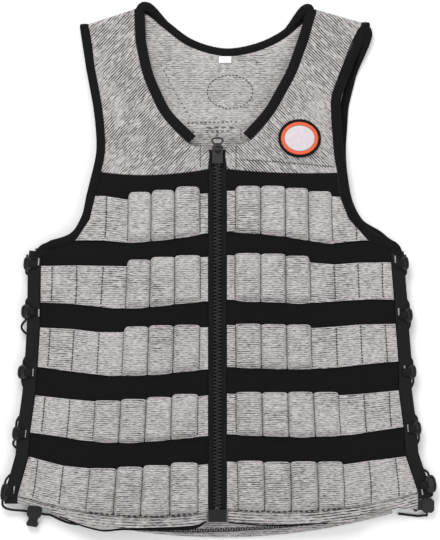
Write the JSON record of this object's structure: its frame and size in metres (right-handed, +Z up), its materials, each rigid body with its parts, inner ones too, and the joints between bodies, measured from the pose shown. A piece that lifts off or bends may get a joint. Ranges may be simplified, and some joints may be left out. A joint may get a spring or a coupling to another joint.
{
  "type": "weighted vest",
  "caption": "Weight-training vest lying flat on its back, with a zip front, rows of weight pockets front and back, and sides laced through hooks to cord locks.",
  "frame": {"origin": "centre of the part's own box, on the surface that it lies on", "axes": "+Z up off the surface, +Y to the neck, +X to the right of someone who looks down at the front"},
  "size_m": [0.528, 0.6416, 0.0406],
  "materials": {
    "heather_knit": "light grey heather, ribbed and twilled",
    "black_cloth": "matt black knit",
    "black_webbing": "fine black webbing",
    "zip_tape": "black woven tape",
    "black_plastic": "moulded, semi-gloss",
    "elastic_lace": "braided elastic",
    "badge_orange": "satin",
    "badge_pale": "satin",
    "label": "woven white tape"
  },
  "bodies": {
    "root": {"armhole_binding_left": "black_webbing", "armhole_binding_right": "black_webbing", "back_lace_strip_left": "black_webbing", "back_lace_strip_right": "black_webbing", "back_panel": "heather_knit", "back_pockets_1": "heather_knit", "back_pockets_2": "heather_knit", "back_pockets_3": "heather_knit", "back_pockets_4": "heather_knit", "back_pockets_5": "heather_knit", "back_pockets_6": "heather_knit", "badge_border": "black_webbing", "badge_centre": "badge_pale", "badge_ring": "badge_orange", "cord_lock_left": "black_plastic", "cord_lock_right": "black_plastic", "front_base_left": "black_cloth", "front_base_right": "black_cloth", "front_hem_left": "heather_knit", "front_hem_right": "heather_knit", "front_pockets_1_left": "heather_knit", "front_pockets_1_right": "heather_knit", "front_pockets_2_left": "heather_knit", "front_pockets_2_right": "heather_knit", "front_pockets_3_left": "heather_knit", "front_pockets_3_right": "heather_knit", "front_pockets_4_left": "heather_knit", "front_pockets_4_right": "heather_knit", "front_pockets_5_left": "heather_knit", "front_pockets_5_right": "heather_knit", "lace_hook_left_1": "black_plastic", "lace_hook_left_2": "black_plastic", "lace_hook_left_3": "black_plastic", "lace_hook_left_4": "black_plastic", "lace_hook_left_5": "black_plastic", "lace_hook_right_1": "black_plastic", "lace_hook_right_2": "black_plastic", "lace_hook_right_3": "black_plastic", "lace_hook_right_4": "black_plastic", "lace_hook_right_5": "black_plastic", "lace_tail_left": "elastic_lace", "lace_tail_right": "elastic_lace", "neck_binding": "black_webbing", "side_lace_left": "elastic_lace", "side_lace_right": "elastic_lace", "side_strip_left": "black_webbing", "side_strip_right": "black_webbing", "size_label": "label", "yoke_left": "heather_knit", "yoke_right": "heather_knit", "zip_end_box": "black_plastic", "zip_slider": "black_plastic", "zip_tape_left": "zip_tape", "zip_tape_right": "zip_tape", "zip_teeth_left": "black_plastic", "zip_teeth_right": "black_plastic"},
    "puller": {"zip_puller": "black_plastic"},
    "button_left": {"cord_lock_button_left": "black_plastic"},
    "button_right": {"cord_lock_button_right": "black_plastic"}
  },
  "joints": [
    {"name": "puller_hinge", "type": "hinge", "parent": "root", "child": "puller", "pos_m": [0.00036, 0.14566, 0.03532], "axis": [1, 0, 0], "range_deg": [0, 170]},
    {"name": "press_left", "type": "slide", "parent": "root", "child": "button_left", "axis": [0.1736, 0.9848, 0], "range_m": [0, 0.004], "stiffness_N_per_m": 300, "springref_m": -0.01},
    {"name": "press_right", "type": "slide", "parent": "root", "child": "button_right", "axis": [1, 0, 0], "range_m": [0, 0.004], "stiffness_N_per_m": 300, "springref_m": -0.01}
  ]
}
